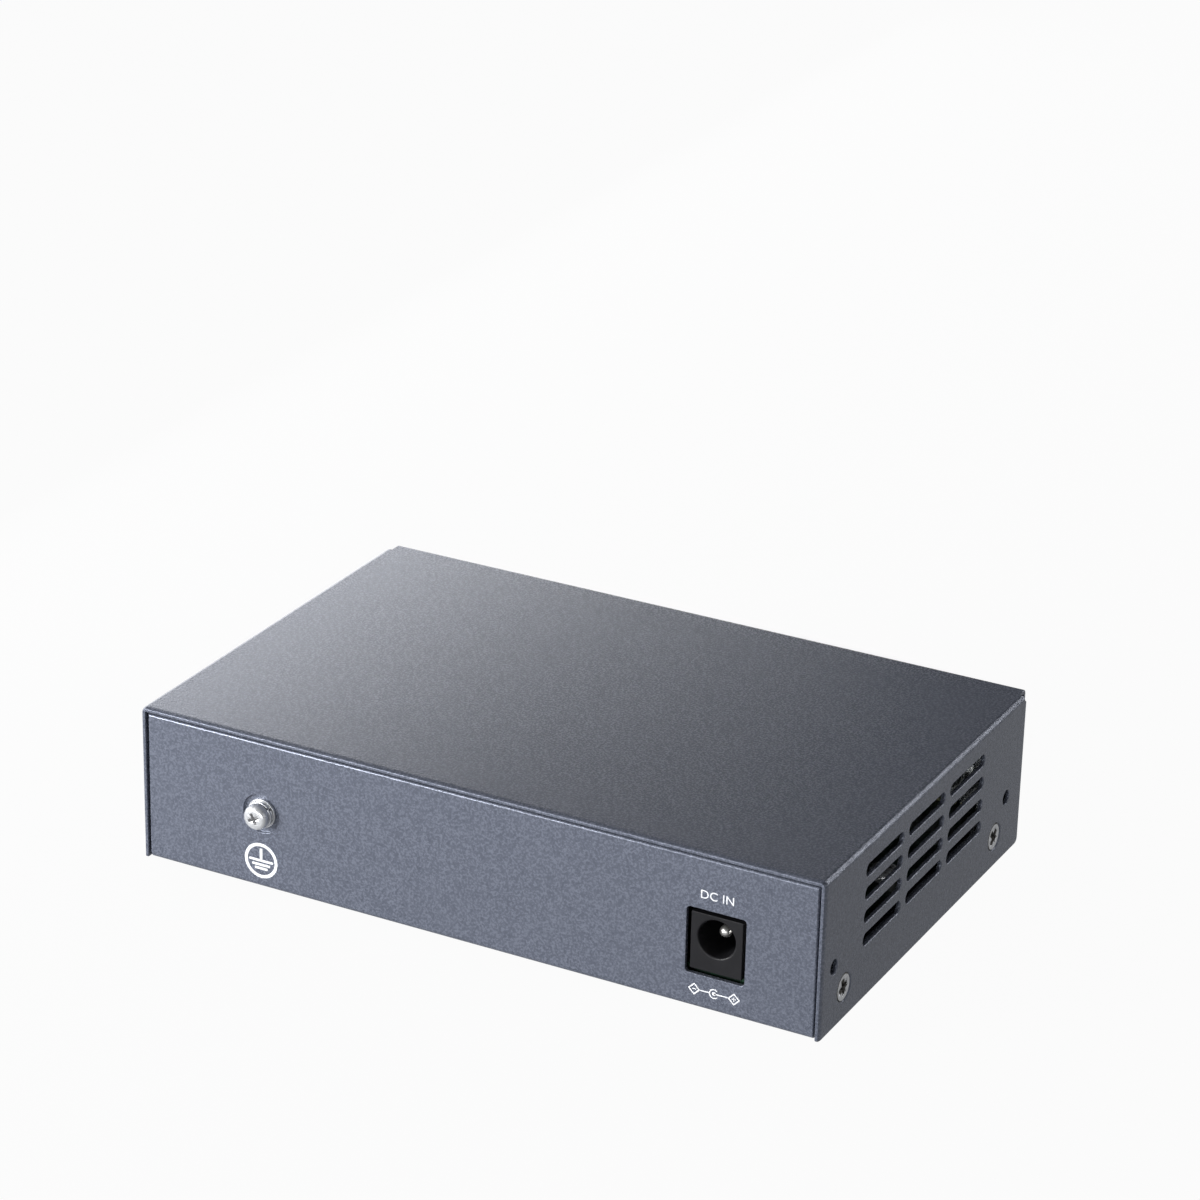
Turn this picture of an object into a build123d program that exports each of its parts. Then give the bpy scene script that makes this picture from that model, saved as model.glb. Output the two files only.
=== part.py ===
"""Desktop ethernet switch in a folded steel case.

Millimetres. +Z is up, the ports face -Y, the rear panel with the DC jack and the
ground screw faces +Y. The origin is on the floor, under the middle of the whole
switch, ground screw included, so the case itself stands a little ahead of it.
"""

import os

from build123d import *

# Case, driving dimensions
body_depth = 80.0
body_height = 27.0
sheet = 0.8
foot_height = 1.2
cover_bend = 0.9
tray_bend = 1.0

# Hood of the cover, folded down over the front panel
hood_reach = 2.2
hood_drop = 3.0
hood_gap = 0.2
hood_relief = 0.5

# Play between the cover and the panels of the tray
panel_gap = 0.3
panel_inset = 0.2
panel_edge_round = 0.25
cover_edge_round = 0.5
wall_corner_round = 1.0

# Vents and bracket holes of the side walls
vent_columns = 3
vent_rows = 4
vent_length = 13.9
vent_height = 2.15
vent_end_sides = 12
vent_pitch_y = 16.0
vent_pitch_z = 4.0
side_pattern_y = 2.1
top_vent_drop = 4.7
bracket_hole_radius = 1.25
bracket_hole_end_gap = 6.5
bracket_hole_drop = 16.1

# Countersunk screws that hold the cover to the tray
cover_screw_end_gap = 10.65
cover_screw_drop = 21.55
cover_screw_head_radius = 2.3
cover_screw_radius = 1.5
cover_screw_length = 4.5
cover_screw_sink = 0.1
cover_screw_seat_play = 0.25
cover_screw_seat_angle = 90.0
thread_play = 0.05
collar_wall = 0.8
collar_length = 1.2

# Side flanges of the tray
flange_height = 8.6
flange_front_setback = 5.6
flange_rear_setback = 2.2

# Feet and wall hooks under the tray
foot_radius = 5.0
foot_inset_x = 9.0
foot_inset_y = 9.0
keyhole_spacing = 70.0
keyhole_y = 4.0
keyhole_head_radius = 3.6
keyhole_slot_radius = 1.9
keyhole_travel = 6.5

# Circuit board and what holds it
board_side_gap = 5.0
board_thickness = 1.6
board_front_gap = 0.6
board_rear_gap = 0.8
board_corner_cut = 1.0
standoff_height = 4.2
standoff_across_flats = 5.0
standoff_rivet_radius = 2.1
standoff_bore_radius = 1.25
press_play = 0.02
board_screw_side_inset = 4.0
board_screw_front_gap = 6.6
board_screw_rear_inset = 5.2
board_screw_head_radius = 2.6
board_screw_head_height = 1.8
board_screw_radius = 1.2
board_screw_length = 5.0
board_hole_radius = 1.6

# Ganged network jacks
port_pitch = 14.0
quad_ports = 4
pair_ports = 2
jack_side = 0.6
jack_height = 13.4
jack_depth = 17.6
jack_proud = 0.3
jack_group_gap = 2.4
jack_wall_gap = 6.0
jack_panel_gap = 0.4
shield_wall = 0.25
shield_fit = 0.05
shield_window_margin = 0.3
plug_width = 11.8
plug_height = 6.9
plug_depth = 13.0
latch_step_width = 6.3
latch_step_height = 1.8
latch_slot_width = 3.9
latch_slot_height = 1.4
latch_depth = 9.0
cavity_floor = 1.2
contact_count = 8
contact_pitch = 1.02
contact_width = 0.4
contact_thickness = 0.3
contact_root = 1.5
contact_root_length = 2.0
contact_reach = 10.5
contact_droop = 2.0
finger_width = 2.4
finger_length = 5.0
finger_setback = 0.15
finger_rise = 0.3
finger_ramp = 1.5
tail_width = 1.6
tail_length = 2.4
tail_play = 0.2
tail_setback = 5.0
tail_spacing = 9.0

# Indicator lamps and their light guide
lamp_count = 7
lamp_pitch = 2.6
lamp_wall_gap = 15.5
lamp_jack_gap = 11.7
lamp_width = 1.6
lamp_depth = 0.8
lamp_height = 0.7
guide_rod_size = 1.6
guide_window_play = 0.1
guide_rod_height = 6.4
guide_post_width = 1.6
guide_post_depth = 2.2
guide_lamp_gap = 0.3
guide_setback = 6.0
guide_bar_height = 1.6
guide_bar_overhang = 1.4
guide_facet = 1.8
guide_leg_width = 1.5

# Power inlet, a barrel jack
dc_centre_from_wall = 17.95
dc_opening_width = 10.1
dc_opening_height = 11.3
dc_opening_round = 0.6
dc_opening_below_face = 0.7
dc_face_width = 8.8
dc_face_height = 9.8
dc_face_thickness = 3.4
dc_face_sink = 0.3
dc_length = 14.2
dc_bore_radius = 3.15
dc_bore_height = 5.9
dc_bore_depth = 10.0
dc_bore_chamfer = 0.2
dc_barrel_wall = 0.7
dc_shoulder_rise = 1.2
dc_pin_radius = 1.0
dc_pin_sink = 2.35
dc_pin_tip_cut = 0.5
dc_spring_width = 1.6
dc_spring_thickness = 0.3
dc_spring_rise = 0.7
dc_spring_length = 7.0
dc_spring_root = 2.0
dc_spring_tip = 1.6
dc_groove_depth = 0.6
dc_groove_setback = 1.6
dc_groove_play = 0.1
dc_tab_width = 2.2
dc_tab_thickness = 0.6
dc_tab_length = 3.0
dc_tab_play = 0.2
dc_tab_setbacks = (6.0, 13.0)

# Ground screw and its dimple in the rear panel
ground_from_wall = 22.6
ground_drop = 13.65
dimple_radius = 3.4
dimple_depth = 0.5
ground_collar_length = 1.8
ground_screw_radius = 1.5
ground_screw_length = 7.0
ground_head_radius = 2.6
ground_head_height = 2.2
ground_head_slope = 0.8
ground_head_slope_height = 0.5
spring_washer_radius = 2.6
spring_washer_thickness = 0.8
spring_washer_gap = 0.5
spring_washer_gap_angle = 45.0
flat_washer_radius = 3.0
flat_washer_thickness = 0.5
washer_play = 0.1

# Cross recess of the screws
recess_width = 0.6
recess_span = 2.6
recess_depth = 0.9
recess_taper = 12.0

# Parts on the circuit board
transformer_width = 11.4
transformer_depth = 7.2
transformer_height = 5.6
transformer_gap = 3.0
transformer_lift = 0.3
transformer_round = 0.3
lead_count = 5
lead_pitch = 2.0
lead_width = 0.5
lead_thickness = 0.25
lead_reach = 1.2
lead_foot = 0.7
lead_root_height = 2.4
chip_size = 14.0
chip_height = 1.2
chip_jack_offset = 3.2
chip_edge = 0.2
pad_thickness = 0.5
sink_size = 26.0
sink_gap = 2.6
sink_base = 2.0
sink_height = 9.0
sink_fins = 7
sink_fin_thickness = 1.1
controller_size = 9.0
controller_height = 1.0
controller_place = (29.0, -1.0)
regulator_length = 6.5
regulator_width = 3.6
regulator_height = 1.6
regulator_places = ((21.05, -24.3), (21.05, -16.3))
inductor_size = 7.3
inductor_height = 4.2
inductor_corner_cut = 1.2
inductor_places = ((18.05, -7.3), (29.05, -7.3))
can_radius = 4.0
can_height = 11.5
can_places = ((1.05, -22.8), (11.55, -21.3))
crystal_length = 11.0
crystal_width = 4.6
crystal_height = 3.4
crystal_place = (20.0, 11.0)
crystal_edge = 0.3
memory_length = 5.2
memory_width = 5.2
memory_height = 1.8
memory_place = (30.0, 14.0)
diode_length = 6.8
diode_width = 5.8
diode_height = 2.3
diode_place = (38.05, -7.3)
fuse_length = 6.0
fuse_width = 2.6
fuse_height = 2.4
fuse_place = (10.05, -31.3)
chip_cap_length = 2.0
chip_cap_width = 1.25
chip_cap_height = 1.0
chip_cap_columns = 6
chip_cap_rows = 2
chip_cap_pitch_x = 3.4
chip_cap_pitch_y = 3.0
chip_cap_place = (12.0, 21.0)
chip_resistor_length = 1.6
chip_resistor_width = 0.8
chip_resistor_height = 0.5
chip_resistor_columns = 4
chip_resistor_rows = 3
chip_resistor_pitch_x = 3.0
chip_resistor_pitch_y = 2.4
chip_resistor_place = (44.0, 2.0)

# Planes and heights that the pieces share. The ports and the lamps set the width of the case
quad_width = quad_ports * port_pitch + 2 * jack_side
pair_width = pair_ports * port_pitch + 2 * jack_side
body_width = jack_wall_gap + pair_width + jack_group_gap + quad_width + lamp_jack_gap + lamp_wall_gap
half_width = body_width / 2
pair_x = half_width - jack_wall_gap - pair_width / 2
quad_x = pair_x - pair_width / 2 - jack_group_gap - quad_width / 2
lamp_centre_x = -half_width + lamp_wall_gap
base_z = foot_height
top_z = base_z + body_height
ground_stack = flat_washer_thickness + spring_washer_thickness + ground_head_height
ground_proud = ground_stack - dimple_depth - panel_inset
case_y = -ground_proud / 2
rear_y = case_y + body_depth / 2
hood_y = case_y - body_depth / 2
side_middle_y = case_y + side_pattern_y
wall_front_y = hood_y + hood_reach
front_panel_y = hood_y + sheet + hood_gap
rear_panel_y = rear_y - panel_inset
panel_half_width = half_width - sheet - panel_gap
panel_top_z = top_z - sheet - panel_gap
flange_x = half_width - sheet
floor_z = base_z + sheet
board_z = floor_z + standoff_height
board_top_z = board_z + board_thickness
board_front_y = front_panel_y + sheet + board_front_gap
board_rear_y = rear_panel_y - sheet - board_rear_gap
board_centre_y = (board_front_y + board_rear_y) / 2
board_depth = board_rear_y - board_front_y
board_width = body_width - 2 * board_side_gap

bracket_hole_spacing = body_depth - 2 * bracket_hole_end_gap
cover_screw_spacing = body_depth - 2 * cover_screw_end_gap
cover_screw_z = top_z - cover_screw_drop
cover_screw_places = [
    (side, side_middle_y + end * cover_screw_spacing / 2) for side in (-1, 1) for end in (-1, 1)
]
jack_front_y = front_panel_y - jack_proud
jack_back_y = jack_front_y + jack_depth
jack_top_z = board_top_z + jack_height
jack_groups = ((quad_x, quad_width, quad_ports), (pair_x, pair_width, pair_ports))
plug_floor_z = board_top_z + cavity_floor + latch_slot_height + latch_step_height
plug_top_z = plug_floor_z + plug_height

transformer_y = jack_back_y + transformer_gap + transformer_depth / 2
lead_end_y = transformer_y + transformer_depth / 2 + lead_reach + lead_foot
board_screw_x = board_width / 2 - board_screw_side_inset
board_screw_places = [
    (side * board_screw_x, y)
    for side in (-1, 1)
    for y in (lead_end_y + board_screw_front_gap, board_rear_y - board_screw_rear_inset)
]

lamp_y = jack_front_y + guide_setback
guide_z = board_top_z + guide_rod_height

dc_x = -half_width + dc_centre_from_wall
dc_face_y = rear_panel_y - dc_face_sink
dc_bore_z = board_top_z + dc_bore_height

dc_tab_places = [(dc_x, dc_face_y - setback) for setback in dc_tab_setbacks]

# The chips stand behind the transformers, the power parts beside the power inlet
chip_board = Plane(origin=(quad_x + chip_jack_offset, lead_end_y + sink_gap + sink_size / 2, board_top_z))
power_board = Plane(origin=(dc_x, rear_panel_y, board_top_z))

ground_x = half_width - ground_from_wall
ground_z = top_z - ground_drop
dimple_y = rear_panel_y - dimple_depth
spring_washer_y = dimple_y + flat_washer_thickness


def side_plane(side, y, z):
    """Plane on the outside of one side wall, facing out."""
    return Plane(origin=(side * half_width, y, z), x_dir=(0, side, 0), z_dir=(side, 0, 0))


def rear_plane(x, y, z):
    """Plane across the depth at y, facing the rear."""
    return Plane(origin=(x, y, z), x_dir=(-1, 0, 0), z_dir=(0, 1, 0))


def port_places(jack_x, ports):
    """Middle of each port of a ganged jack along the panel."""
    return [jack_x + port_pitch * (port - (ports - 1) / 2) for port in range(ports)]


def tail_places(jack_x, jack_width):
    """Solder tails at the foot of a jack shield."""
    tail_x = (jack_width - shield_wall) / 2
    return [
        (jack_x + side * tail_x, jack_front_y + tail_setback + row * tail_spacing)
        for side in (-1, 1)
        for row in (0, 1)
    ]


def cross_recess(head_plane):
    """Outline of a screw's cross recess on the plane of its head."""
    with BuildSketch(head_plane) as recess:
        Rectangle(recess_span, recess_width)
        Rectangle(recess_width, recess_span)
    return recess.sketch


# Cover: top, side walls and hood, folded from one sheet

with BuildPart() as cover:
    with BuildSketch(Plane.XZ.offset(-rear_y)):
        with BuildLine():
            FilletPolyline(
                (-half_width, base_z),
                (-half_width, top_z),
                (half_width, top_z),
                (half_width, base_z),
                radius=cover_bend,
            )
            offset(amount=sheet, side=Side.RIGHT)
        make_face()
    extrude(amount=rear_y - wall_front_y)
    fillet(
        cover.faces().sort_by(Axis.Y)[-1].edges().filter_by(Axis.X).sort_by(Axis.Z)[-1],
        radius=cover_edge_round,
    )
    wall_corners = cover.edges().filter_by(Axis.X).group_by(Axis.Y)[0].group_by(Axis.Z)[0]
    fillet(wall_corners, radius=wall_corner_round)
    with BuildSketch(Plane.YZ.offset(-panel_half_width)):
        with BuildLine():
            FilletPolyline(
                (wall_front_y + hood_relief, top_z),
                (hood_y, top_z),
                (hood_y, top_z - hood_drop),
                radius=cover_bend,
            )
            offset(amount=sheet, side=Side.LEFT)
        make_face()
    extrude(amount=2 * panel_half_width)
    with BuildSketch(Plane.XY.offset(top_z)):
        for side in (-1, 1):
            with Locations((side * half_width, wall_front_y)):
                Rectangle(2 * (sheet + panel_gap), 2 * hood_relief)
    extrude(amount=-sheet - panel_gap, mode=Mode.SUBTRACT)
    with BuildSketch(Plane.YZ.offset(-half_width)):
        vent_middle_z = top_z - top_vent_drop - vent_pitch_z * (vent_rows - 1) / 2
        with Locations((side_middle_y, vent_middle_z)):
            with GridLocations(vent_pitch_y, vent_pitch_z, vent_columns, vent_rows):
                # The many slots have few faces round their ends
                Rectangle(vent_length - vent_height, vent_height)
                with GridLocations(vent_length - vent_height, 0, 2, 1):
                    RegularPolygon(
                        vent_height / 2,
                        vent_end_sides,
                        major_radius=False,
                        rotation=180 / vent_end_sides,
                    )
        with Locations((side_middle_y, top_z - bracket_hole_drop)):
            with GridLocations(bracket_hole_spacing, 0, 2, 1):
                Circle(bracket_hole_radius)
    extrude(amount=body_width, mode=Mode.SUBTRACT)
    with Locations(*[side_plane(side, y, cover_screw_z) for side, y in cover_screw_places]):
        CounterSinkHole(
            radius=cover_screw_radius + cover_screw_seat_play,
            counter_sink_radius=cover_screw_head_radius + cover_screw_seat_play,
            depth=2 * sheet,
            counter_sink_angle=cover_screw_seat_angle,
        )

# Base tray: bottom, front and rear panels and side flanges, folded from one sheet

with BuildPart() as base_tray:
    with BuildSketch(Plane.YZ.offset(-panel_half_width)):
        with BuildLine():
            FilletPolyline(
                (front_panel_y, panel_top_z),
                (front_panel_y, base_z),
                (rear_panel_y, base_z),
                (rear_panel_y, panel_top_z),
                radius=tray_bend,
            )
            offset(amount=sheet, side=Side.LEFT)
        make_face()
    extrude(amount=2 * panel_half_width)
    rear_face = base_tray.faces().sort_by(Axis.Y)[-1]
    fillet(
        rear_face.edges().filter_by(Axis.Z) + rear_face.edges().filter_by(Axis.X).sort_by(Axis.Z)[-1:],
        radius=panel_edge_round,
    )
    flange_rear_y = rear_panel_y - flange_rear_setback
    with BuildSketch(Plane.XZ.offset(-flange_rear_y)):
        with BuildLine():
            FilletPolyline(
                (-flange_x, base_z + flange_height),
                (-flange_x, base_z),
                (flange_x, base_z),
                (flange_x, base_z + flange_height),
                radius=tray_bend,
            )
            offset(amount=sheet, side=Side.LEFT)
        make_face()
    extrude(amount=flange_rear_y - front_panel_y - flange_front_setback)
    # Pressed collars that take the cover screws
    collar_reach = flange_x - sheet - collar_length
    collar_planes = [
        Plane(origin=(side * collar_reach, y, cover_screw_z), z_dir=(side, 0, 0))
        for side, y in cover_screw_places
    ]
    for collar_plane in collar_planes:
        with BuildSketch(collar_plane):
            Circle(cover_screw_radius + thread_play + collar_wall)
        extrude(amount=collar_length)
        with BuildSketch(collar_plane):
            Circle(cover_screw_radius + thread_play)
        extrude(amount=collar_length + sheet, mode=Mode.SUBTRACT)
    # Front panel: one window for each ganged jack, a row of small ones for the light guide
    with BuildSketch(Plane.XZ.offset(-front_panel_y)):
        for jack_x, jack_width in ((quad_x, quad_width), (pair_x, pair_width)):
            with Locations((jack_x, board_top_z + jack_height / 2)):
                Rectangle(jack_width + 2 * jack_panel_gap, jack_height + 2 * jack_panel_gap)
        with Locations((lamp_centre_x, guide_z)):
            with GridLocations(lamp_pitch, 0, lamp_count, 1):
                Rectangle(guide_rod_size + 2 * guide_window_play, guide_rod_size + 2 * guide_window_play)
    extrude(amount=-sheet, mode=Mode.SUBTRACT)
    # Rear panel: window of the DC jack
    with BuildSketch(rear_plane(dc_x, rear_panel_y, board_top_z - dc_opening_below_face)):
        with Locations((0, dc_opening_height / 2)):
            RectangleRounded(dc_opening_width, dc_opening_height, dc_opening_round)
    extrude(amount=-sheet, mode=Mode.SUBTRACT)
    # Rear panel: dimple and tapped collar of the ground screw
    with BuildSketch(rear_plane(ground_x, dimple_y - sheet, ground_z)):
        Circle(dimple_radius + sheet)
    extrude(amount=sheet)
    with BuildSketch(rear_plane(ground_x, dimple_y - sheet, ground_z)):
        Circle(ground_screw_radius + thread_play + collar_wall)
    extrude(amount=-ground_collar_length)
    with BuildSketch(rear_plane(ground_x, rear_panel_y, ground_z)):
        Circle(dimple_radius)
    extrude(amount=-dimple_depth, mode=Mode.SUBTRACT)
    with BuildSketch(rear_plane(ground_x, dimple_y, ground_z)):
        Circle(ground_screw_radius + thread_play)
    extrude(amount=-sheet - ground_collar_length, mode=Mode.SUBTRACT)
    # Bottom: holes of the pressed standoffs, keyholes for wall hooks
    with BuildSketch(Plane.XY.offset(base_z)):
        with Locations(*board_screw_places):
            Circle(standoff_rivet_radius + press_play)
        with Locations((0, case_y + keyhole_y)):
            with GridLocations(keyhole_spacing, 0, 2, 1):
                Circle(keyhole_head_radius)
                with Locations((0, keyhole_travel / 2)):
                    SlotCenterToCenter(keyhole_travel, 2 * keyhole_slot_radius, rotation=90)
    extrude(amount=sheet, mode=Mode.SUBTRACT)


# Fasteners and feet

with BuildPart() as cover_screws:
    for side, y in cover_screw_places:
        head_x = side * (half_width - cover_screw_sink)
        head_plane = Plane(origin=(head_x, y, cover_screw_z), z_dir=(side, 0, 0))
        head_depth = sheet - cover_screw_sink
        with BuildSketch(head_plane):
            Circle(cover_screw_head_radius)
        with BuildSketch(head_plane.offset(-head_depth)):
            Circle(cover_screw_radius)
        loft()
        with BuildSketch(head_plane.offset(-head_depth)):
            Circle(cover_screw_radius)
        extrude(amount=head_depth - cover_screw_length)
        extrude(cross_recess(head_plane), amount=-recess_depth, taper=recess_taper, mode=Mode.SUBTRACT)

with BuildPart() as rubber_feet:
    foot_spacing_x = body_width - 2 * foot_inset_x
    foot_spacing_y = body_depth - 2 * foot_inset_y
    with BuildSketch(Plane(origin=(0, case_y, 0))):
        with GridLocations(foot_spacing_x, foot_spacing_y, 2, 2):
            Circle(foot_radius)
    extrude(amount=foot_height)

with BuildPart() as ground_flat_washer:
    with BuildSketch(rear_plane(ground_x, dimple_y, ground_z)):
        Circle(flat_washer_radius)
        Circle(ground_screw_radius + washer_play, mode=Mode.SUBTRACT)
    extrude(amount=flat_washer_thickness)

with BuildPart() as ground_spring_washer:
    with BuildSketch(rear_plane(ground_x, spring_washer_y, ground_z)):
        Circle(spring_washer_radius)
        Circle(ground_screw_radius + washer_play, mode=Mode.SUBTRACT)
        with PolarLocations(spring_washer_radius, 1, start_angle=spring_washer_gap_angle):
            Rectangle(
                2 * (spring_washer_radius - ground_screw_radius), spring_washer_gap, mode=Mode.SUBTRACT
            )
    extrude(amount=spring_washer_thickness)

with BuildPart() as ground_screw:
    ground_head_plane = rear_plane(ground_x, spring_washer_y + spring_washer_thickness, ground_z)
    with BuildSketch(ground_head_plane):
        Circle(ground_head_radius)
    extrude(amount=ground_head_height)
    chamfer(
        ground_screw.edges().sort_by(Axis.Y)[-1], length=ground_head_slope_height, length2=ground_head_slope
    )
    with BuildSketch(ground_head_plane):
        Circle(ground_screw_radius)
    extrude(amount=-ground_screw_length)
    ground_recess = cross_recess(ground_head_plane.offset(ground_head_height))
    extrude(ground_recess, amount=-recess_depth, taper=recess_taper, mode=Mode.SUBTRACT)

with BuildPart() as board_standoffs:
    with BuildSketch(Plane.XY.offset(floor_z)):
        with Locations(*board_screw_places):
            RegularPolygon(standoff_across_flats / 2, 6, major_radius=False)
    extrude(amount=standoff_height)
    with BuildSketch(Plane.XY.offset(base_z)):
        with Locations(*board_screw_places):
            Circle(standoff_rivet_radius)
    extrude(amount=sheet)
    with BuildSketch(Plane.XY.offset(base_z)):
        with Locations(*board_screw_places):
            Circle(standoff_bore_radius)
    extrude(amount=sheet + standoff_height, mode=Mode.SUBTRACT)

with BuildPart() as board_screws:
    for x, y in board_screw_places:
        screw_plane = Plane.XY.offset(board_top_z)
        with BuildSketch(screw_plane):
            with Locations((x, y)):
                Circle(board_screw_head_radius)
        extrude(amount=board_screw_head_height)
        with BuildSketch(screw_plane):
            with Locations((x, y)):
                Circle(board_screw_radius)
        extrude(amount=-board_screw_length)


# Circuit board

with BuildPart() as circuit_board:
    with BuildSketch(Plane.XY.offset(board_z)) as board_outline:
        with Locations((0, board_centre_y)):
            Rectangle(board_width, board_depth)
        chamfer(board_outline.vertices(), length=board_corner_cut)
        with Locations(*board_screw_places):
            Circle(board_hole_radius, mode=Mode.SUBTRACT)
        for jack_x, jack_width, ports in jack_groups:
            with Locations(*tail_places(jack_x, jack_width)):
                Rectangle(shield_wall + 2 * tail_play, tail_width + 2 * tail_play, mode=Mode.SUBTRACT)
        with Locations(*dc_tab_places):
            Rectangle(
                dc_tab_width + 2 * dc_tab_play, dc_tab_thickness + 2 * dc_tab_play, mode=Mode.SUBTRACT
            )
    extrude(amount=board_thickness)


# Ganged network jacks: moulded housing, sheet shield and spring contacts


def plug_outline(jack_x, ports, margin):
    """Outline of the plugs of one ganged jack on its front."""
    with BuildSketch(Plane.XZ.offset(-jack_front_y)) as outline:
        with Locations(*[(x, plug_floor_z + plug_height / 2) for x in port_places(jack_x, ports)]):
            Rectangle(plug_width + 2 * margin, plug_height + 2 * margin)
    return outline.sketch


def latch_outline(jack_x, ports, margin):
    """Outline of the stepped keyways of the plug latches, under the plugs."""
    step_z = plug_floor_z - latch_step_height / 2
    slot_z = plug_floor_z - latch_step_height - latch_slot_height / 2
    with BuildSketch(Plane.XZ.offset(-jack_front_y)) as outline:
        with Locations(*[(x, step_z) for x in port_places(jack_x, ports)]):
            Rectangle(latch_step_width + 2 * margin, latch_step_height + 2 * margin)
        with Locations(*[(x, slot_z) for x in port_places(jack_x, ports)]):
            Rectangle(latch_slot_width + 2 * margin, latch_slot_height + 2 * margin)
    return outline.sketch


def jack_housing(jack_x, jack_width, ports):
    """Moulded housing of a ganged jack."""
    housing_front_y = jack_front_y + shield_wall
    housing_depth = jack_depth - 2 * shield_wall - shield_fit
    housing_height = jack_height - shield_wall - shield_fit
    with BuildPart() as housing:
        with BuildSketch(Plane.XZ.offset(-housing_front_y)):
            with Locations((jack_x, board_top_z + housing_height / 2)):
                Rectangle(jack_width - 2 * (shield_wall + shield_fit), housing_height)
        extrude(amount=-housing_depth)
        extrude(plug_outline(jack_x, ports, 0), amount=-plug_depth, mode=Mode.SUBTRACT)
        extrude(latch_outline(jack_x, ports, 0), amount=-latch_depth, mode=Mode.SUBTRACT)
    return housing


def jack_shield(jack_x, jack_width, ports):
    """Folded shield round a jack housing, with spring fingers and solder tails."""
    shield_centre_y = jack_front_y + jack_depth / 2
    with BuildPart() as shield:
        with BuildSketch(Plane.XY.offset(board_top_z)):
            with Locations((jack_x, shield_centre_y)):
                Rectangle(jack_width, jack_depth)
        extrude(amount=jack_height)
        with BuildSketch(Plane.XY.offset(board_top_z)):
            with Locations((jack_x, shield_centre_y)):
                Rectangle(jack_width - 2 * shield_wall, jack_depth - 2 * shield_wall)
        extrude(amount=jack_height - shield_wall, mode=Mode.SUBTRACT)
        extrude(
            plug_outline(jack_x, ports, shield_window_margin), amount=-shield_wall, mode=Mode.SUBTRACT
        )
        extrude(
            latch_outline(jack_x, ports, shield_window_margin), amount=-shield_wall, mode=Mode.SUBTRACT
        )
        finger_y = jack_front_y + finger_setback
        with BuildSketch(*[Plane.YZ.offset(x - finger_width / 2) for x in port_places(jack_x, ports)]):
            with BuildLine():
                Polyline(
                    (finger_y, jack_top_z),
                    (finger_y + finger_ramp, jack_top_z + finger_rise),
                    (finger_y + finger_length - finger_ramp, jack_top_z + finger_rise),
                    (finger_y + finger_length, jack_top_z),
                    close=True,
                )
            make_face()
        extrude(amount=finger_width)
        with BuildSketch(Plane.XY.offset(board_top_z)):
            with Locations(*tail_places(jack_x, jack_width)):
                Rectangle(shield_wall, tail_width)
        extrude(amount=-tail_length)
    return shield


def jack_contacts(jack_x, ports):
    """Spring contacts of a ganged jack, rooted in the roof of each port."""
    root_y = jack_front_y + contact_root
    comb = [contact_pitch * (wire - (contact_count - 1) / 2) for wire in range(contact_count)]
    wire_places = [x + wire_x - contact_width / 2 for x in port_places(jack_x, ports) for wire_x in comb]
    with BuildPart() as contacts:
        with BuildSketch(*[Plane.YZ.offset(x) for x in wire_places]):
            with BuildLine():
                Polyline(
                    (root_y, plug_top_z),
                    (root_y + contact_root_length, plug_top_z),
                    (jack_front_y + contact_reach, plug_top_z - contact_droop),
                )
                offset(amount=contact_thickness, side=Side.RIGHT, kind=Kind.INTERSECTION)
            make_face()
        extrude(amount=contact_width)
    return contacts


rj45_quad_housing = jack_housing(quad_x, quad_width, quad_ports)
rj45_quad_shield = jack_shield(quad_x, quad_width, quad_ports)
rj45_quad_contacts = jack_contacts(quad_x, quad_ports)
rj45_pair_housing = jack_housing(pair_x, pair_width, pair_ports)
rj45_pair_shield = jack_shield(pair_x, pair_width, pair_ports)
rj45_pair_contacts = jack_contacts(pair_x, pair_ports)


# Indicator lamps and the clear guide that brings their light to the front panel

with BuildPart() as indicator_lamps:
    with BuildSketch(Plane.XY.offset(board_top_z)):
        with Locations((lamp_centre_x, lamp_y)):
            with GridLocations(lamp_pitch, 0, lamp_count, 1):
                Rectangle(lamp_width, lamp_depth)
    extrude(amount=lamp_height)

with BuildPart() as light_guide:
    guide_front_y = lamp_y - guide_post_depth / 2
    guide_back_y = lamp_y + guide_post_depth / 2
    guide_foot_z = board_top_z + lamp_height + guide_lamp_gap
    guide_top_z = guide_z + guide_rod_size / 2
    guide_row = lamp_pitch * (lamp_count - 1)
    lamp_places = [lamp_centre_x - guide_row / 2 + lamp_pitch * lamp for lamp in range(lamp_count)]
    with BuildSketch(*[Plane.YZ.offset(x - guide_post_width / 2) for x in lamp_places]):
        with BuildLine():
            Polyline(
                (guide_front_y, guide_foot_z),
                (guide_front_y, guide_top_z),
                (guide_back_y - guide_facet, guide_top_z),
                (guide_back_y, guide_top_z - guide_facet),
                (guide_back_y, guide_foot_z),
                close=True,
            )
        make_face()
    extrude(amount=guide_post_width)
    with BuildSketch(Plane.XZ.offset(-guide_front_y)):
        with Locations((lamp_centre_x, guide_z)):
            with GridLocations(lamp_pitch, 0, lamp_count, 1):
                Rectangle(guide_rod_size, guide_rod_size)
    extrude(amount=guide_front_y - front_panel_y)
    guide_bar_z = guide_foot_z + guide_bar_height
    guide_bar_length = guide_row + guide_post_width + 2 * (guide_bar_overhang + guide_leg_width)
    with BuildSketch(Plane.XY.offset(guide_bar_z)):
        with Locations((lamp_centre_x, lamp_y)):
            Rectangle(guide_bar_length, guide_post_depth)
    extrude(amount=guide_bar_height)
    with BuildSketch(Plane.XY.offset(board_top_z)):
        with Locations((lamp_centre_x, lamp_y)):
            with GridLocations(guide_bar_length - guide_leg_width, 0, 2, 1):
                Rectangle(guide_leg_width, guide_post_depth)
    extrude(amount=guide_bar_z - board_top_z)


# Power inlet: moulded body, centre pin, side spring and solder tabs

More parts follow.
